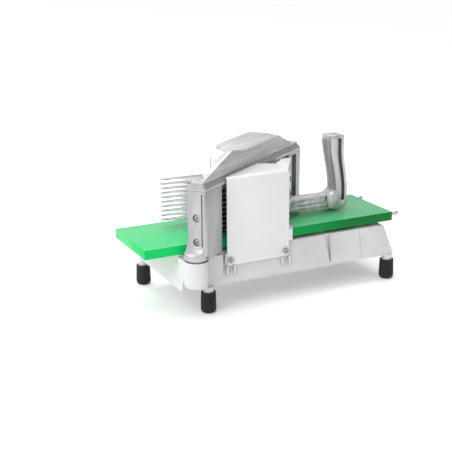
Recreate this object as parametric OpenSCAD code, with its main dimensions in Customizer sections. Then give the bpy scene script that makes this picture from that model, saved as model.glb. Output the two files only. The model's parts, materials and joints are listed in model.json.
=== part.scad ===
// Manual tomato slicer: a pusher slides along a cutting board and drives the food
// through a diagonal stack of horizontal blades.
// +X runs from the outfeed end to the handle end, +Y to the rear, +Z up.
// The origin is on the table, at the centre of the footprint.

/* [Cutting board] */
// Length of the cutting board
board_l = 386; // [370:1:400]
// Width of the cutting board
board_w = 108; // [104:0.5:110]
// Thickness of the cutting board
board_t = 12.7; // [10:0.1:14]
// Place of the board's middle along the machine
board_x = -10; // [-14:0.5:-6]
// Height of the top of the board
board_top = 95; // [94:0.5:98]

/* [Base casting] */
// Place of the outfeed end at the bottom of the base
base_left = -158.4; // [-164:0.2:-152]
// Place of the handle end at the bottom of the base
base_right = 177; // [174:0.5:182]
// Width of the base at the bottom
base_w = 138; // [134:1:142]
// Height of the deck
deck_z = 78; // [76:0.5:80]
// Height of the bottom edge of the aprons
apron_z = 36; // [32:0.5:40]
// How far an apron leans out from top to bottom
flare = 11; // [8:0.5:12]
// Wall thickness of the casting
wall = 4.5; // [3.5:0.1:5]
// Radius of the round pedestal under each post
pedestal_r = 16; // [15.5:0.1:18]

/* [Feet] */
// Radius of a rubber foot at its widest
foot_r = 10.6; // [9.5:0.1:11]
// Height of a rubber foot
foot_h = 29; // [27:0.5:31]

/* [Blade frame] */
// Angle of the blade frame to the direction of travel
frame_angle = 34.4; // [33:0.1:36]
// Place of the frame's middle along the machine
frame_x = -24.6; // [-26:0.1:-23]
// Half of the frame's length
frame_half = 141; // [138:0.5:144]
// Width of a post along the frame
post_w = 41; // [38:0.5:42]
// Depth of a post
post_d = 28.8; // [27:0.1:30]
// Height of the top of the posts
post_top = 172.5; // [171:0.1:173]
// Distance of a post's foot from the frame's middle
post_foot = 135.3; // [134:0.1:136]

/* [Blades and fingers] */
// Slice thickness, from one blade to the next
slice = 6.35; // [6.3:0.01:6.4]
// Blade thickness
blade_t = 0.6; // [0.4:0.1:0.8]
// Blade width
blade_w = 13; // [11:0.5:14]
// Thickness of a pusher finger
finger_t = 1.5; // [1.2:0.1:1.8]
// Radius of the hollow that cradles the food
cup_r = 50; // [46:0.5:52]

/* [Guards and hood] */
// Width of a guard
guard_w = 93.4; // [90:0.2:96]
// Thickness of a guard
guard_t = 2.6; // [2:0.1:3]
// Height of the top of a guard
guard_top = 180.5; // [179:0.1:181.5]
// Height of the hood's ridge
hood_top = 204.6; // [202:0.1:207]

/* [Handle] */
// Height of the top of the grip
grip_top = 206.5; // [200:0.5:210]
// Depth of the handle casting
grip_d = 24; // [20:0.5:25]

/* [Hidden] */

$fn = 48;
eps = 0.01;
gap = 0.05;                                  // clearance of a screw or plate in its seat
board_z = board_top - board_t;               // underside of the board
base_mid = (base_left + base_right) / 2;
base_l = base_right - base_left;
foot_at = [[-118.6, -65.5], [169, -64.5], [-156, 75], [168, 70]];
column_at = [[-116, -50], [154, -48], [-140, 50], [154, 48]];    // columns inside the tray
blade_count = 10;
blade_z0 = board_top + slice;                // height of the lowest blade
finger_z0 = blade_z0 + slice / 2;            // height of the lowest finger
opening_top = blade_z0 + (blade_count + 0.1) * slice;
frame_top = post_top + 10;                   // top of the bar over the posts
blade_end = frame_half - 12;                 // half length of a blade
post_in = frame_half - post_w;               // inner face of a post
holder_out = frame_half - 9;                 // outer face of a blade holder
feed_n = -post_d / 2;                        // feed side face of the frame
screw_z = [104.5, 137];                      // heights of the tension screws
guard_x = -43;                               // middle of the front guard
guard_y = -65.4;                             // outer face of the front guard
guard_foot_z = 60;                           // lower edge of a guard
guard_screw_z = 67.4;
guard_screw_x = 42.2;                        // half distance between a guard's screws
comb_n = [-28.5, -18];                       // feed and blade side faces of the comb
comb_d = [-58, 65];                          // ends of the comb along the frame
comb_top = 173;
sled_z = [board_top + 0.3, board_top + 4.3]; // bottom and top of the pusher's plate
cup_x = -144;                                // middle of the cradling hollow
cup_y = -17;
arm_z = [102, 120];                          // bottom and top of the handle's arm
plate_y = 59.5;                              // half width of the pusher's plate
shoe_x = [-50, 13];                          // ends of the slide shoes
pin_d = 124;                                 // distance of a blade pin from the middle
foot_n = 4.4;                                // offset of a post's foot across the frame
post_r = 3.6;                                // round of a post's upright corners
groove_n = [-9.3, -7.5];                     // sides of the groove in a post's narrow side
collar_r = 16.6;                             // radius of the collar at a post's foot
ring_r = 14.6;                               // radius of the seat for a post's foot
top_screw_d = 130;
flange_d = [27, 66];                        // ends of the handle's flange along the frame
flange_n = -34.5;                            // feed side face of the handle's flange

bolt_d = [-48, 45];                          // places of the finger bolts along the comb
bolt_n = -21;
handle_bolt_d = [34, 57];                    // places of the handle's bolts along the comb
handle_bolt_z = [128, 148];
board_pads = [-137, -30, 70, 135];           // places of the pads under the board
pad_y = 38;
peg_y = 46;                                  // distance of a board peg from the centre line
peg_z = 89.4;

// ---------- helpers ----------

function finger_z(i) = finger_z0 + i * slice;
function smooth(t) = let (u = min(1, max(0, t))) u * u * (3 - 2 * u);
function comb_corner(d, n) = [frame_x + d * cos(frame_angle) - n * sin(frame_angle),
    d * sin(frame_angle) + n * cos(frame_angle)];
function grip_front(z) = 101 + 11.5 * smooth((grip_top - z) / 82);
function grip_back(z) = 124 + 7.5 * smooth((186 - z) / 62);

// local x runs along the blade frame, local y across it
module along_frame() translate([frame_x, 0, 0]) rotate([0, 0, frame_angle]) children();

// the opposite corner's copy of a piece of the blade frame
module rear_copy() rotate([0, 0, 180]) children();

// a plate in the XZ plane, from y0 to y0 + t
module upright(y0, t) translate([0, y0 + t, 0]) rotate([90, 0, 0]) linear_extrude(t) children();

module block(a, b) translate(a) cube([b[0] - a[0], b[1] - a[1], b[2] - a[2]]);

// pan head screw pointing down, its head's seat at the origin
module pan_screw(r, length, head_r, head_h) {
    translate([0, 0, -length]) cylinder(r = r, h = length + eps);
    difference() {
        cylinder(r = head_r, h = head_h);
        for (a = [0, 90]) rotate([0, 0, a]) translate([-head_r * 0.6, -head_r * 0.13, head_h * 0.45])
            cube([head_r * 1.2, head_r * 0.26, head_h]);
    }
}

// outline of a bar along X, with round corners at its low end
module round_ended(start, end, half, r) {
    translate([start + r, -half]) square([end - start - r, 2 * half]);
    translate([start, r - half]) square([r + eps, 2 * half - 2 * r]);
    for (s = [-1, 1]) translate([start + r, s * (half - r)]) circle(r = r);
}

// hexagon socket screw pointing down, its head's seat at the origin
module socket_screw(r, length, head_r, head_h) {
    translate([0, 0, -length]) cylinder(r = r, h = length + eps);
    difference() {
        cylinder(r = head_r, h = head_h);
        translate([0, 0, head_h * 0.4]) cylinder(r = head_r * 0.5, h = head_h, $fn = 6);
    }
}

// ---------- base ----------

// the flared box shape of the tray, grown inwards by the inset
module tray_shape(inset, bottom, top) {
    lean = flare / (deck_z - apron_z);
    half_bottom = base_w / 2 - inset + (apron_z - bottom) * lean;
    half_top = base_w / 2 - inset - (top - apron_z) * lean;
    end_bottom = base_l / 2 - inset + (apron_z - bottom) * lean;
    end_top = base_l / 2 - inset - (top - apron_z) * lean;
    translate([base_mid, 0, 0]) intersection() {
        upright(-base_w, 2 * base_w) polygon([[-end_bottom, bottom], [end_bottom, bottom],
            [end_top, top], [-end_top, top]]);
        rotate([0, 0, 90]) upright(-base_l, 2 * base_l) polygon([[-half_bottom, bottom],
            [half_bottom, bottom], [half_top, top], [-half_top, top]]);
    }
}

// round pedestal under the outfeed post and the block that ties it to the tray
module pedestal() {
    translate([0, 0, apron_z + 7]) cylinder(r = pedestal_r, h = deck_z - apron_z - 7);
    block([-pedestal_r, 0, apron_z + 7], [pedestal_r, 24, deck_z]);
}

// boss behind a guard, with two small ribs that show below it
module guard_boss(x) {
    block([x - 7, guard_y + guard_t, guard_foot_z - 6], [x + 7, -50, deck_z - 2]);
    for (s = [-7, 4]) block([x + s, guard_y - 2.2, 46], [x + s + 3, -55, guard_foot_z - 0.5]);
}

// leg: spigot inside the rubber foot, neck, and a web to a column inside the tray
module leg(at, column) {
    inward = [sign(column[0] - at[0]), sign(column[1] - at[1])];
    translate([at[0], at[1], 8]) cylinder(r = 6.5, h = foot_h - 7);
    translate([at[0], at[1], foot_h + gap]) cylinder(r = 7.4, h = apron_z - foot_h + 0.6);
    translate([column[0], column[1], apron_z - 3]) cylinder(r = 7, h = deck_z - apron_z);
    translate([at[0] + 3 * inward[0], at[1] + 5 * inward[1], apron_z - 3]) linear_extrude(8)
        polygon([[-4, -4], [4, -4], [column[0] - at[0], column[1] - at[1]], [-4, 4]]);
}

// a cut of one depth into the sloping front apron, with the given outline
module apron_recess(depth) difference() {
    upright(-base_w, base_w) children();
    tray_shape(depth, apron_z - 2, deck_z + 2);
}

// everything in its half of the machine, then again on the opposite corner
module both_corners() for (s = [0, 1])
    translate([2 * s * frame_x, 0, 0]) rotate([0, 0, 180 * s]) children();

module base_casting() {
    color("gainsboro") difference() {
        union() {
            difference() {
                tray_shape(0, apron_z, deck_z);
                tray_shape(wall, apron_z - 1, deck_z - wall);
            }
            both_corners() {
                translate(comb_corner(-post_foot, foot_n)) pedestal();
                block([-124, -66, 42], [-97, -50, deck_z - 1]);
                for (x = [-guard_screw_x, guard_screw_x]) guard_boss(guard_x + x);
            }
            for (i = [0:3]) leg(foot_at[i], column_at[i]);
            for (x = board_pads, s = [-1, 1]) translate([x, s * pad_y, deck_z - eps])
                cylinder(r = 8, h = board_z - deck_z + eps);
            for (x = [-100, 20, 120]) block([x, -base_w / 2 + 12, deck_z - wall - 7],
                [x + 4, base_w / 2 - 12, deck_z - wall + 1]);
        }
        // shallow panel and tapering groove in each apron
        for (s = [0, 1]) translate([2 * s * base_mid, 0, 0]) rotate([0, 0, 180 * s]) {
            apron_recess(0.9) polygon([[77, deck_z + 1], [124, deck_z + 1], [124, apron_z - 1],
                [72, apron_z - 1]]);
            apron_recess(3.4) polygon([[66, deck_z + 1], [75, deck_z + 1], [71.4, apron_z + 5],
                [69.6, apron_z + 5]]);
        }
        both_corners() translate(comb_corner(-post_foot, foot_n)) translate([0, 0, deck_z - 2])
            cylinder(r = ring_r, h = 9);
        for (x = board_pads, s = [-1, 1]) translate([x, s * pad_y, deck_z - 20]) cylinder(r = 2.6, h = 40);
        both_corners() {
            along_frame() translate([-post_foot, foot_n, apron_z - 10]) {
                cylinder(r = 4.1, h = 80);
                cylinder(r = 9, h = 24);
            }
            for (x = [-guard_screw_x, guard_screw_x]) translate([guard_x + x, -50, guard_screw_z])
                rotate([90, 0, 0]) cylinder(r = 2.05, h = 30);
        }
    }
}

module rubber_foot(i) {
    color("#1c1c1e") translate([foot_at[i][0], foot_at[i][1], 0])
        rotate_extrude() polygon([[0, 0], [foot_r - 3.4, 0], [foot_r - 1.2, 1.6], [foot_r, 4.5],
            [foot_r, 7], [foot_r - 1, foot_h], [6.5 + gap, foot_h], [6.5 + gap, 8 - gap], [0, 8 - gap]]);
}

module cutting_board() {
    color("#12a85a") difference() {
        block([board_x - board_l / 2, -board_w / 2, board_z],
            [board_x + board_l / 2, board_w / 2, board_top]);
        for (x = board_pads, s = [-1, 1]) translate([x, s * pad_y, board_z - 1])
            cylinder(r = 2.5 + gap, h = 9);
        for (side = [-1, 1]) translate([board_x + board_l / 2 - 12.1, side * peg_y, peg_z])
            rotate([0, 90, 0]) cylinder(r = 2.5 + gap, h = 20);
    }
}

module board_screws() {
    color("silver") for (x = board_pads, s = [-1, 1]) translate([x, s * pad_y, deck_z - wall])
        mirror([0, 0, 1]) pan_screw(2.5, 16, 4.5, 2.6);
}

// knobs that stand out of the handle end of the board
module board_pegs() {
    color("silver") for (side = [-1, 1]) translate([board_x + board_l / 2, side * peg_y, peg_z])
        rotate([0, 90, 0]) rotate_extrude() polygon([[0, -12], [2.5, -12], [2.5, gap], [3.6, gap],
            [3.6, 2], [2.6, 3.5], [2.6, 6], [3.4, 8], [3.4, 14], [2.4, 15.5], [0, 15.5]]);
}

// ---------- blade frame ----------

// one post, its foot and its slot for the blade holder, at the outfeed corner
module post() {
    difference() {
        union() {
            translate([0, 0, deck_z + 9]) linear_extrude(post_top - deck_z - 9)
                round_ended(-frame_half, -post_in, post_d / 2, post_r);
            block([-frame_half + 7, -post_d / 2, deck_z + 4], [-post_in, post_d / 2, deck_z + 10]);
            translate([-post_foot, foot_n, deck_z]) cylinder(r = ring_r - 0.6, h = 6);
            // collar, and the flare that runs down onto it
            translate([-post_foot, foot_n, deck_z + 3]) cylinder(r = collar_r, h = 7);
            intersection() {
                translate([-post_foot, foot_n, deck_z + 8]) cylinder(r = collar_r, h = 20);
                upright(-post_d / 2, post_d) polygon([[-post_in, deck_z + 8], [-frame_half - 12, deck_z + 8],
                    [-frame_half - 12, deck_z + 9.9], [-frame_half - 7, deck_z + 11.5],
                    [-frame_half - 3.5, deck_z + 14.5], [-frame_half - 1.2, deck_z + 18.5],
                    [-frame_half + 1, deck_z + 25], [-post_in, deck_z + 25]]);
            }
        }
        // groove in the narrow side that sets off the rounded corner
        block([-frame_half - 1, groove_n[0], 100], [-frame_half + 1.4, groove_n[1], post_top - 3.5]);
        // slot for the blade holder, open towards the blades
        block([-holder_out, -5.5, board_top + 2], [-post_in + 1, 5.5, opening_top]);
        // pocket on the side away from the feed
        block([-frame_half + 16, post_d / 2 - 5, 100], [-post_in - 9, post_d / 2 + 1, post_top - 3]);
        // tension screw holes and their counterbores
        for (z = screw_z) translate([-frame_half - 1, 0, z]) rotate([0, 90, 0]) {
            cylinder(r = 2.6, h = 14);
            cylinder(r = 5.2, h = 6);
        }
        // bolt from below, and screw from above
        translate([-post_foot, foot_n, deck_z - 1]) cylinder(r = 4 + gap, h = 16);
        translate([-top_screw_d, 0, post_top - 5]) cylinder(r = 2.5 + gap, h = 20);
    }
}

// room for the board and the pusher's plate under the inner corner of a post
module board_relief() block([-300, -plate_y - 0.6, deck_z + 1], [300, plate_y + 0.6, sled_z[1] + 0.9]);

module front_post() {
    color("#c9cacc") difference() {
        along_frame() post();
        board_relief();
    }
}

module rear_post() {
    color("#c9cacc") difference() {
        along_frame() rear_copy() post();
        board_relief();
    }
}

module post_gasket() translate([-post_foot, foot_n, deck_z - 2 + gap]) difference() {
    cylinder(r = ring_r - 0.1, h = 2 - 2 * gap);
    translate([0, 0, -1]) cylinder(r = 4.2, h = 4);
}

module front_post_gasket() color("#222222") along_frame() post_gasket();
module rear_post_gasket() color("#222222") along_frame() rear_copy() post_gasket();

module post_bolts() {
    color("silver") along_frame() for (a = [0, 180]) rotate([0, 0, a])
        translate([-post_foot, foot_n, apron_z + 14]) mirror([0, 0, 1]) {
            translate([0, 0, apron_z - deck_z + 1]) cylinder(r = 4, h = deck_z - apron_z);
            cylinder(r = 7.5, h = 5.5, $fn = 6);
        }
}

// stepped bar over the posts, with a keel between them
module top_bar() {
    color("#d4d5d7") along_frame() difference() {
        union() {
            for (step = [[0, 0, 4.7], [1.8, 4.6, 7.5], [3.8, 7.4, 10]], end = [0, 180])
                rotate([0, 0, end]) translate([0, 0, post_top + step[1]]) linear_extrude(step[2] - step[1])
                    round_ended(-frame_half + step[0] / 2, 1, post_d / 2 - step[0], post_r);
            block([-post_in + 0.2, -8, opening_top - 1], [post_in - 0.2, 8, post_top + 1]);
        }
        for (s = [-1, 1]) translate([s * top_screw_d, 0, post_top - 1]) cylinder(r = 2.5 + gap, h = 20);
    }
}

// cast cover: a web on the feed side, sloped ends that screw down over the posts, a flat roof
module hood() {
    web_n = -9.6;
    color("#d9dadc") along_frame() difference() {
        union() {
            upright(web_n, 4) polygon([[-140, frame_top], [136, frame_top], [136, frame_top + 2.4],
                [121, frame_top + 2.4], [77, hood_top], [-27, hood_top], [-38, hood_top + 1.6],
                [-50, hood_top + 4.2], [-61, hood_top + 6], [-66, hood_top + 5], [-140, frame_top + 2]]);
            upright(web_n, 9) polygon([[-140, frame_top], [-122, frame_top], [-122, frame_top + 2.4],
                [-66, hood_top - 1], [-60, hood_top - 4], [-27, hood_top - 4], [-27, hood_top],
                [-50, hood_top + 1.5], [-61, hood_top + 5.8], [-66, hood_top + 5], [-140, frame_top + 2]]);
            block([-140, web_n, frame_top], [-122, 6, frame_top + 2.4]);
            upright(web_n, 18) polygon([[136, frame_top], [108, frame_top], [74, hood_top - 4],
                [77, hood_top], [121, frame_top + 2.4], [136, frame_top + 2.4]]);
            translate([0, 0, hood_top - 4]) linear_extrude(4) union() {
                polygon([[-40, web_n], [78, web_n], [87, 15], [84, 32], [79, 43.5], [-17, 40.5], [-40, 16]]);
                translate([-18, 31]) circle(r = 9.5);
            }
        }
        for (s = [-1, 1]) {
            translate([s * top_screw_d, 0, frame_top - 1]) cylinder(r = 2.5 + gap, h = 12);
            translate([s * top_screw_d, 0, frame_top + 1]) cylinder(r = 5, h = 40);
        }
    }
}

module top_screws() {
    color("silver") along_frame() for (s = [-1, 1])
        translate([s * top_screw_d, 0, frame_top + 1]) pan_screw(2.5, 15.5, 4.6, 1.3);
}

// bar that the blade ends hook into
module blade_holder() difference() {
    block([-holder_out + 1, -5.3, board_top + 3], [-blade_end + 12, 5.3, opening_top - 1]);
    for (i = [0:blade_count - 1])
        block([-blade_end - gap, -6, blade_z0 + i * slice - blade_t / 2 - gap],
            [-blade_end + 20, 6, blade_z0 + i * slice + blade_t / 2 + gap]);
    for (z = screw_z) translate([-frame_half, 0, z]) rotate([0, 90, 0]) cylinder(r = 2.5 + gap, h = 11.6);
    translate([-pin_d, 0, board_top]) cylinder(r = 1.5 + gap, h = 90);
}

module front_blade_holder() color("#8f9296") along_frame() blade_holder();
module rear_blade_holder() color("#8f9296") along_frame() rear_copy() blade_holder();

module tension_screws() for (z = screw_z)
    translate([-frame_half + 5, 0, z]) rotate([0, -90, 0]) socket_screw(2.5, 6.4, 4.4, 3.6);

module front_tension_screws() color("silver") along_frame() tension_screws();
module rear_tension_screws() color("silver") along_frame() rear_copy() tension_screws();

module blade_pins() color("silver") along_frame() for (s = [-1, 1])
    translate([s * pin_d, 0, board_top + 3]) cylinder(r = 1.5, h = opening_top - board_top - 4);

module blade(i) {
    color("#e3e5e8") along_frame() translate([0, 0, blade_z0 + i * slice - blade_t / 2])
        linear_extrude(blade_t) difference() {
            polygon([[-blade_end, -4.6], [-post_in + 3, -4.6], [-post_in + 3, -blade_w / 2],
                [post_in - 3, -blade_w / 2], [post_in - 3, -4.6], [blade_end, -4.6],
                [blade_end, 4.6], [-blade_end, 4.6]]);
            for (s = [-1, 1]) translate([s * pin_d, 0]) circle(r = 1.5 + gap);
        }
}

// ---------- guards ----------

// a sheet in front of the blades that folds back over them, with a notch in its rear edge
module guard(tip) {
    x0 = guard_x - guard_w / 2;
    x1 = guard_x + guard_w / 2;
    bend = 5;
    difference() {
        union() {
            block([x0, guard_y, guard_foot_z], [x1, guard_y + guard_t, guard_top - bend]);
            intersection() {
                translate([x0, guard_y + bend, guard_top - bend]) rotate([0, 90, 0]) difference() {
                    cylinder(r = bend, h = guard_w);
                    translate([0, 0, -1]) cylinder(r = bend - guard_t, h = guard_w + 2);
                }
                block([x0, guard_y, guard_top - bend], [x1, guard_y + bend, guard_top]);
            }
            translate([0, 0, guard_top - guard_t]) linear_extrude(guard_t)
                polygon([[x0, guard_y + bend], [x1, guard_y + bend], [x1 + tip, -3], [x1 + 22, -2],
                    [x1 + 15, -12], [x1, -24.5], [x1 - 7, -18], [x1 - 24, -10], [x0, -10]]);
        }
        // trimmed along the stepped bar
        along_frame() {
            block([-frame_half, feed_n - 0.6, post_top - 3], [frame_half, 100, post_top + 5.2]);
            block([-frame_half, feed_n + 1.2, post_top], [frame_half, 100, frame_top + 5]);
        }
        for (x = [-guard_screw_x, guard_screw_x]) translate([guard_x + x, guard_y - 1, guard_screw_z])
            rotate([-90, 0, 0]) cylinder(r = 2.2, h = 10);
    }
}

module guard_screws() for (x = [-guard_screw_x, guard_screw_x])
    translate([guard_x + x, guard_y, guard_screw_z]) rotate([90, 0, 0]) pan_screw(2, 12, 4.2, 2.4);

module at_rear() translate([2 * frame_x, 0, 0]) rotate([0, 0, 180]) children();

module front_guard() color("white") guard(37.5);
module rear_guard() color("white") at_rear() guard(27);
module front_guard_screws() color("silver") guard_screws();
module rear_guard_screws() color("silver") at_rear() guard_screws();

// ---------- pusher ----------

// plate that slides on the board, and the comb that holds the fingers
module pusher_carriage() {
    color("#d2d3d5") difference() {
        union() {
            translate([0, 0, sled_z[0]]) linear_extrude(sled_z[1] - sled_z[0]) polygon([[-63, -plate_y],
                [shoe_x[1], -plate_y], [shoe_x[1], -36], [51, 0], [51, 22], [shoe_x[1], 46],
                [shoe_x[1], plate_y], [shoe_x[0], plate_y], [-63, -20]]);
            along_frame() block([comb_d[0], comb_n[0], sled_z[0]], [comb_d[1], comb_n[1], comb_top]);
        }
        along_frame() {
            for (i = [0:blade_count - 1]) block([comb_d[0] - 1, -24, finger_z(i) - finger_t / 2 - gap],
                [comb_d[1] + 1, comb_n[1] + 1, finger_z(i) + finger_t / 2 + gap]);
            for (d = bolt_d) translate([d, bolt_n, 0]) {
                translate([0, 0, sled_z[0] + 6]) cylinder(r = 2 + gap, h = 100);
                translate([0, 0, comb_top - 2.6]) cylinder(r = 4, h = 10);
            }
            for (d = handle_bolt_d, z = handle_bolt_z) translate([d, comb_n[0] - 1, z])
                rotate([-90, 0, 0]) cylinder(r = 2.5 + gap, h = 4.1);
        }
        for (side = [-1, 1], x = [shoe_x[0] + 8, shoe_x[1] - 8])
            translate([x, side * 57, sled_z[0] - 1]) {
                cylinder(r = 1.5 + gap, h = 10);
                translate([0, 0, 3.4]) cylinder(r = 2.4, h = 10);
            }
    }
}

// block that wraps the edge of the board
module slide_shoe(side) {
    color("#ececec") difference() {
        for (part = [[54.4, board_z - 3.2, plate_y, sled_z[0]], [48.5, board_z - 3.2, 54.5, board_z - 0.3]])
            block([shoe_x[0], min(side * part[0], side * part[2]), part[1]],
                [shoe_x[1], max(side * part[0], side * part[2]), part[3]]);
        for (x = [shoe_x[0] + 8, shoe_x[1] - 8]) translate([x, side * 57, sled_z[0] - 8.1])
            cylinder(r = 1.5 + gap, h = 10);
    }
}

module slide_shoe_screws() {
    color("silver") for (side = [-1, 1], x = [shoe_x[0] + 8, shoe_x[1] - 8])
        translate([x, side * 57, sled_z[0] + 2.4]) pan_screw(1.5, 10, 2.3, 1.5);
}

// thin plate with a round hollow in its leading edge
module finger(i) {
    start = asin((-48 - cup_y) / cup_r);
    arc = [for (a = [start:(88 - start) / 12:88.01]) [cup_x + cup_r * cos(a), cup_y + cup_r * sin(a)]];
    color("#dfe1e4") translate([0, 0, finger_z(i) - finger_t / 2]) linear_extrude(finger_t) difference() {
        polygon(concat(arc, [[-143.5, 35.5], [-140, 38], [-90, 36], comb_corner(comb_d[1] - 1, comb_n[1]),
            comb_corner(comb_d[1] - 1, -23.95), comb_corner(comb_d[0] + 1, -23.95),
            comb_corner(comb_d[0] + 1, comb_n[1])]));
        for (d = bolt_d) translate(comb_corner(d, bolt_n)) circle(r = 2 + gap);
    }
}

module finger_bolts() {
    color("silver") along_frame() for (d = bolt_d) translate([d, bolt_n, comb_top - 2.6])
        socket_screw(2, comb_top - 2.6 - sled_z[0] - 6.2, 3.8, 2.6);
}

// ---------- handle ----------

// side outline of the handle's grip
module grip_outline() {
    low = 108;
    steps = 12;
    heights = [for (i = [0:steps]) grip_top - (grip_top - low) * i / steps];
    polygon(concat([for (z = heights) [grip_front(z), z]],
        [for (i = [steps:-1:0]) [grip_back(heights[i]), heights[i]]]));
}

// narrow groove that follows the grip's outer edge
module grip_pocket() {
    heights = [for (i = [0:10]) grip_top - 4 - i * 9.2];
    polygon(concat([for (z = heights) [grip_back(z) - 10.4, z]],
        [for (i = [10:-1:0]) [grip_back(heights[i]) - 4, heights[i]]]));
}

module push_handle() {
    bend_r = 11;
    color("#b9babc") difference() {
        union() {
            upright(-grip_d / 2, grip_d) union() {
                grip_outline();
                translate([131.5 - bend_r, 97 + bend_r]) circle(r = bend_r);
                polygon([[100, arm_z[0]], [108, 98.6], [131.5 - bend_r, 97],
                    [131.5 - bend_r, 112], [100, 112]]);
                translate([131.5 - bend_r, 97 + bend_r]) square([bend_r, 12]);
                polygon([[98, arm_z[1] - 2], [106, arm_z[1] + 1], [112, arm_z[1] + 6], [115, arm_z[1] + 14],
                    [122, arm_z[1]], [120, 105], [98, 105]]);
            }
            difference() {
                upright(-10, 20) polygon([[0, arm_z[0]], [104, arm_z[0]], [104, arm_z[1]], [0, arm_z[1]]]);
                along_frame() block([-200, flange_n + 3, 0], [200, 200, 300]);
            }
            along_frame() block([flange_d[0], flange_n, sled_z[1] + 0.3],
                [flange_d[1], comb_n[0] - gap, 156]);
        }
        for (s = [0, 1]) mirror([0, s, 0]) {
            upright(-grip_d / 2 - 1, 7.5) grip_pocket();
            upright(-11, 2.6) polygon([[48, 109], [94, 109], [102, 117.4], [48, 117.4]]);
        }
        along_frame() for (d = handle_bolt_d, z = handle_bolt_z) translate([d, flange_n - 1, z])
            rotate([-90, 0, 0]) cylinder(r = 2.5 + gap, h = 12);
    }
}

module handle_bolts() {
    color("silver") along_frame() for (d = handle_bolt_d, z = handle_bolt_z) translate([d, flange_n, z])
        rotate([90, 0, 0]) socket_screw(2.5, 8.8, 4.2, 3);
}

base_casting();
cutting_board();
board_screws();
board_pegs();
rubber_foot(0);  // foot_front_left
rubber_foot(1);  // foot_front_right
rubber_foot(2);  // foot_rear_left
rubber_foot(3);  // foot_rear_right
front_post();
rear_post();
front_post_gasket();
rear_post_gasket();
post_bolts();
top_bar();
hood();
top_screws();
front_blade_holder();
rear_blade_holder();
front_tension_screws();
rear_tension_screws();
blade_pins();
blade(0);  // blade_01
blade(1);  // blade_02
blade(2);  // blade_03
blade(3);  // blade_04
blade(4);  // blade_05
blade(5);  // blade_06
blade(6);  // blade_07
blade(7);  // blade_08
blade(8);  // blade_09
blade(9);  // blade_10
front_guard();
rear_guard();
front_guard_screws();
rear_guard_screws();
pusher_carriage();
slide_shoe(-1);  // front_slide_shoe
slide_shoe(1);  // rear_slide_shoe
slide_shoe_screws();
finger(0);  // finger_01
finger(1);  // finger_02
finger(2);  // finger_03
finger(3);  // finger_04
finger(4);  // finger_05
finger(5);  // finger_06
finger(6);  // finger_07
finger(7);  // finger_08
finger(8);  // finger_09
finger(9);  // finger_10
finger_bolts();
push_handle();
handle_bolts();
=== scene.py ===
"""Looks, light and camera for the manual tomato slicer."""

import json
import math

import bmesh
import bpy
from mathutils import Matrix, Vector


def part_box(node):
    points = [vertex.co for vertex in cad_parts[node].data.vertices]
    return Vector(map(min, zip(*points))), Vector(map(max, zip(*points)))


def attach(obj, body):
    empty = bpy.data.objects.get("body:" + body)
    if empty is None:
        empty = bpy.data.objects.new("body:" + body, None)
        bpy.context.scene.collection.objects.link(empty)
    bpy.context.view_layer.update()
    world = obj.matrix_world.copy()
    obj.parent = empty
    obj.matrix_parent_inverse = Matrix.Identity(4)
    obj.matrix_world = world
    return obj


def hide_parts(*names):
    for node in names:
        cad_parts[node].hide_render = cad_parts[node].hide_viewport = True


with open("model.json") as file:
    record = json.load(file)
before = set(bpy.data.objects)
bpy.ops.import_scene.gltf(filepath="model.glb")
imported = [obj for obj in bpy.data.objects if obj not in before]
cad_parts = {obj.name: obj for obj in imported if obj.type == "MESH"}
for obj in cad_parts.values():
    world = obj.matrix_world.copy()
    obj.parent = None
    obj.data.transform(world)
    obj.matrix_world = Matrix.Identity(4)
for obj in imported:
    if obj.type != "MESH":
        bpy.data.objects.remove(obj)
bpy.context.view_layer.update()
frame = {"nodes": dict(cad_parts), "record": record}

MM = 0.001
FRAME_ANGLE = math.radians(34.4)  # of the blade frame to the direction of travel
WELD = 1e-6                       # corners closer than this are one corner
FLAT = math.radians(0.6)          # faces closer to one plane than this are joined


# ---------- camera ----------

def add_camera():
    """A low view from the front and the outfeed end."""
    yaw, pitch, roll = math.radians(26.2), math.radians(17.28), math.radians(-0.39)
    position = (-0.619, -1.1368, 0.4874)
    data = bpy.data.cameras.new("camera")
    data.sensor_width = 36
    data.lens = 75.8
    camera = bpy.data.objects.new("camera", data)
    bpy.context.scene.collection.objects.link(camera)
    turn = Matrix.Rotation(-yaw, 4, "Z") @ Matrix.Rotation(math.pi / 2 - pitch, 4, "X")
    camera.matrix_world = (Matrix.Translation(position) @ turn
                           @ Matrix.Rotation(roll, 4, "Z"))
    bpy.context.scene.camera = camera


add_camera()


# ---------- materials ----------

def new_material(name):
    """A node material, with its tree and its main shader."""
    material = bpy.data.materials.new(name)
    material.use_nodes = True
    tree = material.node_tree
    return material, tree, tree.nodes["Principled BSDF"]


def node(tree, kind, **values):
    """Adds a shader node; a value's key is an input's name or an attribute of the node."""
    made = tree.nodes.new(kind)
    for key, value in values.items():
        label = key.replace("_", " ").title()
        if label in made.inputs:
            made.inputs[label].default_value = value
        else:
            setattr(made, key, value)
    return made


def noise(tree, scale, detail=3.0, stretch=(1, 1, 1), turn=0.0):
    """Noise in object space, drawn out along the axes of a frame turned about Z."""
    place = tree.nodes.new("ShaderNodeTexCoord")
    mapping = tree.nodes.new("ShaderNodeMapping")
    mapping.vector_type = "TEXTURE"
    mapping.inputs["Scale"].default_value = stretch
    mapping.inputs["Rotation"].default_value = (0, 0, turn)
    texture = node(tree, "ShaderNodeTexNoise", scale=scale, detail=detail)
    tree.links.new(place.outputs["Object"], mapping.inputs["Vector"])
    tree.links.new(mapping.outputs["Vector"], texture.inputs["Vector"])
    return texture.outputs["Fac"]


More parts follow.
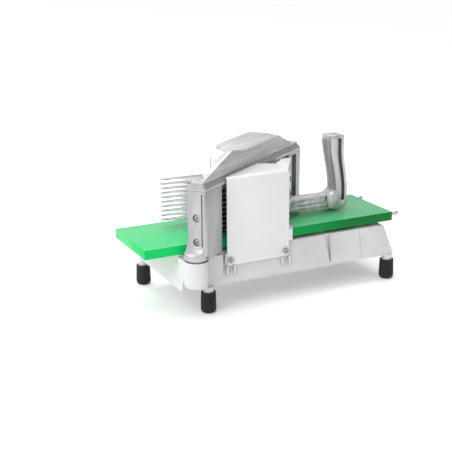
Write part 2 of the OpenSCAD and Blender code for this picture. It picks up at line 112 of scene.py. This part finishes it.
def spread(tree, source, low, high, start=0.3, end=0.7):
    """Maps a value between start and end to a value between low and high."""
    ranged = tree.nodes.new("ShaderNodeMapRange")
    for key, value in (("From Min", start), ("From Max", end), ("To Min", low), ("To Max", high)):
        ranged.inputs[key].default_value = value
    tree.links.new(source, ranged.inputs["Value"])
    return ranged.outputs["Result"]


def tint(tree, source, first, second):
    """Mixes two colours by a value from 0 to 1."""
    mix = tree.nodes.new("ShaderNodeMix")
    mix.data_type = "RGBA"
    mix.inputs["A"].default_value = (*first, 1)
    mix.inputs["B"].default_value = (*second, 1)
    tree.links.new(source, mix.inputs["Factor"])
    return mix.outputs["Result"]


def bump(tree, shader, source, strength, distance):
    """Raises the surface by a value, as seen in the light only."""
    made = node(tree, "ShaderNodeBump", strength=strength, distance=distance)
    tree.links.new(source, made.inputs["Height"])
    tree.links.new(made.outputs["Normal"], shader.inputs["Normal"])


def paint_shade_in_hollows(tree, colour, darkest, reach):
    """Paints shade into a colour: darker in grooves and inner corners, by ambient occlusion
    within the piece.
    """
    occlusion = node(tree, "ShaderNodeAmbientOcclusion", samples=8, only_local=True,
                     distance=reach)
    shade = spread(tree, occlusion.outputs["AO"], darkest, 1.0, 0.3, 0.92)
    mix = tree.nodes.new("ShaderNodeMix")
    mix.data_type = "RGBA"
    mix.blend_type = "MULTIPLY"
    mix.inputs["Factor"].default_value = 1.0
    tree.links.new(colour, mix.inputs["A"])
    tree.links.new(shade, mix.inputs["B"])
    return mix.outputs["Result"]


def surface(name, first, second, rough, metallic=0.0, mottle=26, grain=400, grain_depth=0.0002,
            stretch=(1, 1, 1), turn=0.0, strength=0.15, coat=0.0, specular=0.5, hollow_shade=1.0):
    """A material with mottled colour, uneven gloss and a fine grain, and painted shade in its
    grooves and inner corners when asked.
    """
    material, tree, shader = new_material(name)
    shader.inputs["Metallic"].default_value = metallic
    shader.inputs["Specular IOR Level"].default_value = specular
    shader.inputs["Coat Weight"].default_value = coat
    shader.inputs["Coat Roughness"].default_value = 0.15
    shade = spread(tree, noise(tree, mottle, 4, stretch, turn), 0, 1)
    colour = tint(tree, shade, first, second)
    # painted shade: grooves and inner corners darkened by ambient occlusion
    if hollow_shade < 1:
        colour = paint_shade_in_hollows(tree, colour, hollow_shade, 9 * MM)
    tree.links.new(colour, shader.inputs["Base Color"])
    gloss = spread(tree, noise(tree, 90, 5, stretch, turn), rough[0], rough[1])
    tree.links.new(gloss, shader.inputs["Roughness"])
    bump(tree, shader, noise(tree, grain, 4, stretch, turn), strength, grain_depth)
    return material


def grey(level):
    """A very slightly cool grey."""
    return (level, level * 1.004, level * 1.01)


# A last value below 1 paints shade into a material's grooves and inner corners; the lower, the
# darker.
MATERIALS = {
    "base_paint": surface("base_paint", grey(0.59), grey(0.64), (0.26, 0.36), grain=260,
                          grain_depth=0.0002, strength=0.02, coat=0.2, hollow_shade=0.45),
    "cast_aluminium": surface("cast_aluminium", grey(0.38), grey(0.46), (0.30, 0.44),
                              metallic=0.75, mottle=60, stretch=(1, 1, 3), grain=500,
                              strength=0.08, hollow_shade=0.35),
    "hood_aluminium": surface("hood_aluminium", grey(0.45), grey(0.62), (0.36, 0.48),
                              metallic=0.6, mottle=150, stretch=(9, 1, 1), turn=FRAME_ANGLE,
                              grain=420, strength=0.08, hollow_shade=0.4),
    "handle_aluminium": surface("handle_aluminium", grey(0.38), grey(0.66), (0.26, 0.40),
                                metallic=0.6, mottle=130, stretch=(1, 1, 8), grain=450,
                                strength=0.04, hollow_shade=0.25),
    "white_guard": surface("white_guard", grey(0.70), grey(0.73), (0.28, 0.36), grain=160,
                           grain_depth=0.0002, strength=0.05),
    "white_shoe": surface("white_shoe", grey(0.78), grey(0.83), (0.4, 0.5)),
    "blade_steel": surface("blade_steel", grey(0.66), grey(0.76), (0.12, 0.26), metallic=1.0,
                           mottle=120, stretch=(6, 1, 1), turn=FRAME_ANGLE, grain=700,
                           strength=0.1),
    "finger_steel": surface("finger_steel", grey(0.62), grey(0.74), (0.14, 0.3), metallic=1.0,
                            mottle=120, stretch=(6, 1, 1), grain=600, strength=0.1),
    "peg_steel": surface("peg_steel", grey(0.52), grey(0.66), (0.25, 0.4), metallic=0.8,
                         grain=500),
    "holder_steel": surface("holder_steel", grey(0.12), grey(0.17), (0.35, 0.5), metallic=0.8),
    "fastener_steel": surface("fastener_steel", grey(0.26), grey(0.40), (0.12, 0.25),
                              metallic=1.0, grain=900, strength=0.08),
    "rubber": surface("rubber", grey(0.010), grey(0.018), (0.45, 0.65), grain=900,
                      grain_depth=0.0003, strength=0.3, specular=0.25),
    "green_board": surface("green_board", (0.003, 0.50, 0.110), (0.006, 0.55, 0.130),
                           (0.24, 0.32), grain=300, strength=0.04, specular=0.4),
}


def paint_board_sheen_and_shade(material, shaded_far_side, sheen_near_top, sheen_far_top):
    """Paints light and shade into the board's colour: a paler top face as painted sheen, greyer
    toward the handle end as painted reflection, and sides a deeper green toward the handle end as
    painted shade.
    """
    tree = material.node_tree
    shader = tree.nodes["Principled BSDF"]
    plain = shader.inputs["Base Color"].links[0].from_socket
    place = tree.nodes.new("ShaderNodeTexCoord")
    position = tree.nodes.new("ShaderNodeSeparateXYZ")
    normal = tree.nodes.new("ShaderNodeSeparateXYZ")
    tree.links.new(place.outputs["Object"], position.inputs["Vector"])
    tree.links.new(place.outputs["Normal"], normal.inputs["Vector"])
    # painted shade: the sides darken toward the handle end
    along = spread(tree, position.outputs["X"], 0, 1, -0.15, 0.12)
    # painted sheen: faces that look up get the paler top colours
    upper = spread(tree, normal.outputs["Z"], 0, 1, 0.3, 0.9)
    side = tint(tree, along, (0, 0, 0), shaded_far_side)
    tree.links.new(plain, side.node.inputs["A"])
    face = tint(tree, upper, (0, 0, 0), (0, 0, 0))
    tree.links.new(side, face.node.inputs["A"])
    tree.links.new(tint(tree, along, sheen_near_top, sheen_far_top), face.node.inputs["B"])
    tree.links.new(face, shader.inputs["Base Color"])
    tree.links.new(spread(tree, upper, 0.12, 0.6, 0, 1), shader.inputs["Specular IOR Level"])


# Painted shade on the sides toward the handle end, painted sheen and reflection on the top face.
paint_board_sheen_and_shade(MATERIALS["green_board"], shaded_far_side=(0.001, 0.17, 0.030),
            sheen_near_top=(0.030, 0.50, 0.16), sheen_far_top=(0.070, 0.40, 0.17))
SLOTS = {entry["node"]: entry["material_slot"] for entry in frame["record"]["subparts"]}
BODY_OF = {name: body for body, names in frame["record"]["behaviour"]["bodies"].items()
           for name in names}


# ---------- pieces ----------

def finish_piece(obj, nodes, material_slot):
    """Gives a new piece its material, its body and the nodes it stands for."""
    obj.data.materials.clear()
    obj.data.materials.append(MATERIALS[material_slot])
    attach(obj, BODY_OF[nodes[0]])
    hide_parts(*nodes)


def smooth_by_angle(mesh, degrees):
    """Smooth shading, broken at edges sharper than the angle."""
    made = bmesh.new()
    made.from_mesh(mesh)
    for face in made.faces:
        face.smooth = True
    for edge in made.edges:
        edge.smooth = edge.is_manifold and edge.calc_face_angle(0) < math.radians(degrees)
    made.to_mesh(mesh)
    made.free()


def apply_modifiers(obj):
    """Turns an object's modifiers into mesh."""
    graph = bpy.context.evaluated_depsgraph_get()
    mesh = bpy.data.meshes.new_from_object(obj.evaluated_get(graph))
    obj.modifiers.clear()
    obj.data = mesh


def softened(name, width):
    """A copy of a CAD piece with its flat faces joined and its edges rounded."""
    mesh = frame["nodes"][name].data.copy()
    made = bmesh.new()
    made.from_mesh(mesh)
    bmesh.ops.remove_doubles(made, verts=made.verts, dist=WELD)
    if name != "base_casting":  # its long faces don't join cleanly round the ribs
        bmesh.ops.dissolve_limit(made, angle_limit=FLAT, verts=made.verts, edges=made.edges)
    made.to_mesh(mesh)
    made.free()
    obj = bpy.data.objects.new(name + "_looks", mesh)
    bpy.context.scene.collection.objects.link(obj)
    bevel = obj.modifiers.new("bevel", "BEVEL")
    bevel.width = width
    bevel.segments = 2
    bevel.limit_method = "ANGLE"
    bevel.angle_limit = math.radians(32)
    bevel.miter_outer = "MITER_ARC"
    apply_modifiers(obj)
    smooth_by_angle(obj.data, 50)
    finish_piece(obj, [name], SLOTS[name])


def bevel_width(name):
    """How round the edges of a piece are."""
    if SLOTS[name] in ("blade_steel", "finger_steel"):
        return 0.25 * MM
    if SLOTS[name] == "fastener_steel":
        return 0.3 * MM
    if name in ("front_post", "rear_post"):
        return 2.2 * MM
    if name in ("hood", "push_handle"):
        return 1.2 * MM
    if name in ("base_casting", "front_guard", "rear_guard"):
        return 0.5 * MM
    return 0.8 * MM


def mesh_piece(name, vertices, faces):
    """A new object from corners and faces, with the faces turned outward."""
    mesh = bpy.data.meshes.new(name)
    mesh.from_pydata(vertices, [], faces)
    mesh.validate()
    made = bmesh.new()
    made.from_mesh(mesh)
    bmesh.ops.recalc_face_normals(made, faces=made.faces)
    made.to_mesh(mesh)
    made.free()
    obj = bpy.data.objects.new(name, mesh)
    bpy.context.scene.collection.objects.link(obj)
    return obj


def wavy_blade(name):
    """A blade with a ground, scalloped edge on the feed side, set along the frame."""
    low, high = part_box(name)
    middle = (low + high) / 2
    half_thick = (high.z - low.z) / 2
    half_body, half_width = 97 * MM, 6.5 * MM  # the part between the holders
    half_end, half_tip = 129 * MM, 4.6 * MM    # the narrow tangs in the holders
    tang_overlap, tang_thickness = 2 * MM, 0.96
    scallop, depth, grind = 5.5 * MM, 1.1 * MM, 2.6 * MM
    steps = 282  # along the body
    along = Vector((math.cos(FRAME_ANGLE), math.sin(FRAME_ANGLE), 0))
    across = Vector((-along.y, along.x, 0))
    vertices, faces = [], []
    for i in range(steps + 1):
        d = -half_body + 2 * half_body * i / steps
        edge = -half_width + depth * abs(math.sin(math.pi * d / scallop))
        for n, z in ((edge, 0), (-half_width + grind, half_thick), (half_width, half_thick),
                     (half_width, -half_thick), (-half_width + grind, -half_thick)):
            vertices.append(middle + along * d + across * n + Vector((0, 0, z)))
    for i in range(steps):
        for k in range(5):
            a, b = 5 * i + k, 5 * i + (k + 1) % 5
            faces.append((a, b, b + 5, a + 5))
    faces.append((4, 3, 2, 1, 0))
    faces.append(tuple(5 * steps + k for k in range(5)))
    for side in (-1, 1):
        start = len(vertices)
        for d in (side * (half_body - tang_overlap), side * half_end):
            for n, z in ((-1, 1), (1, 1), (1, -1), (-1, -1)):
                vertices.append(middle + along * d + across * (n * half_tip)
                                + Vector((0, 0, z * half_thick * tang_thickness)))
        faces += [(start + k, start + (k + 1) % 4, start + 4 + (k + 1) % 4, start + 4 + k)
                  for k in range(4)]
        faces += [tuple(start + k for k in (3, 2, 1, 0)), tuple(start + k for k in (4, 5, 6, 7))]
    obj = mesh_piece(name + "_looks", vertices, faces)
    smooth_by_angle(obj.data, 12)
    finish_piece(obj, [name], SLOTS[name])


def fluted_foot(name):
    """A rubber foot with shallow flutes round its skirt."""
    low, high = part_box(name)
    radius = (high.x - low.x) / 2
    height = high.z - low.z
    bore, bore_floor = 6.6 * MM, 8.1 * MM
    flutes, flute_depth = 16, 0.45 * MM
    ring = 96  # corners round the foot
    # share of the radius, share of the height, and 1 where the flutes are cut
    profile = [(0.0, 0.0, 0), (0.55, 0.0, 0), (0.72, 0.012, 0), (0.86, 0.05, 0), (0.96, 0.11, 0),
               (1.0, 0.18, 0), (1.0, 0.26, 1), (0.985, 0.45, 1), (0.96, 0.75, 1), (0.94, 0.96, 1),
               (0.92, 1.0, 0)]
    rows = [(share * radius, z * height, cut) for share, z, cut in profile]
    rows += [(bore, height, 0), (bore, bore_floor, 0), (0.0, bore_floor, 0)]
    vertices, faces = [], []
    for r, z, cut in rows:
        for k in range(ring):
            angle = 2 * math.pi * k / ring
            reach = r - cut * flute_depth * max(0, math.cos(flutes * angle)) ** 2
            vertices.append(((low.x + high.x) / 2 + reach * math.cos(angle),
                             (low.y + high.y) / 2 + reach * math.sin(angle), low.z + z))
    for row in range(len(rows) - 1):
        for k in range(ring):
            a, b = row * ring + k, row * ring + (k + 1) % ring
            faces.append((a, b, b + ring, a + ring))
    obj = mesh_piece(name + "_looks", vertices, faces)
    made = bmesh.new()
    made.from_mesh(obj.data)
    bmesh.ops.remove_doubles(made, verts=made.verts, dist=WELD)
    made.to_mesh(obj.data)
    made.free()
    smooth_by_angle(obj.data, 50)
    finish_piece(obj, [name], SLOTS[name])


for piece in frame["nodes"]:
    if SLOTS[piece] == "blade_steel":
        wavy_blade(piece)
    elif piece.startswith("foot_"):
        fluted_foot(piece)
    else:
        softened(piece, bevel_width(piece))


# ---------- surroundings ----------

def add_floor():
    """A plain pale floor."""
    bpy.ops.mesh.primitive_plane_add(size=30, location=(0, 0, 0))
    floor = bpy.context.object
    floor.name = "floor"
    material, tree, shader = new_material("floor_white")
    shade = tint(tree, noise(tree, 3, 2), (0.90, 0.90, 0.90), (0.92, 0.92, 0.92))
    tree.links.new(shade, shader.inputs["Base Color"])
    shader.inputs["Roughness"].default_value = 0.6
    shader.inputs["Emission Color"].default_value = (1, 1, 1, 1)
    shader.inputs["Emission Strength"].default_value = 0.15
    floor.data.materials.append(material)


def add_light(name, place, size, power):
    """A square soft light that faces the machine."""
    target = Vector((0, 0, 0.1))
    data = bpy.data.lights.new(name, "AREA")
    data.shape = "SQUARE"
    data.size = size
    data.energy = power
    light = bpy.data.objects.new(name, data)
    light.location = place
    light.rotation_euler = (target - light.location).to_track_quat("-Z", "Y").to_euler()
    bpy.context.scene.collection.objects.link(light)


def add_world():
    """A pale surround, brighter from the outfeed side and above than from the handle side."""
    world = bpy.data.worlds.new("studio")
    world.use_nodes = True
    bpy.context.scene.world = world
    brightest_from = Vector((-0.75, 0.3, 0.6))
    tree = world.node_tree
    background = tree.nodes["Background"]
    background.inputs["Color"].default_value = (1, 1, 1, 1)
    place = tree.nodes.new("ShaderNodeTexCoord")
    dot = tree.nodes.new("ShaderNodeVectorMath")
    dot.operation = "DOT_PRODUCT"
    dot.inputs[1].default_value = brightest_from.normalized()
    tree.links.new(place.outputs["Generated"], dot.inputs[0])
    brightness = spread(tree, dot.outputs["Value"], 0.26, 1.22, -0.6, 0.8)
    tree.links.new(brightness, background.inputs["Strength"])


add_floor()
add_world()
add_light("key", (-0.80, -0.42, 0.70), 0.45, 2.8)
add_light("top", (0.1, 0.5, 1.9), 1.6, 20)
bpy.context.scene.view_settings.view_transform = "Standard"
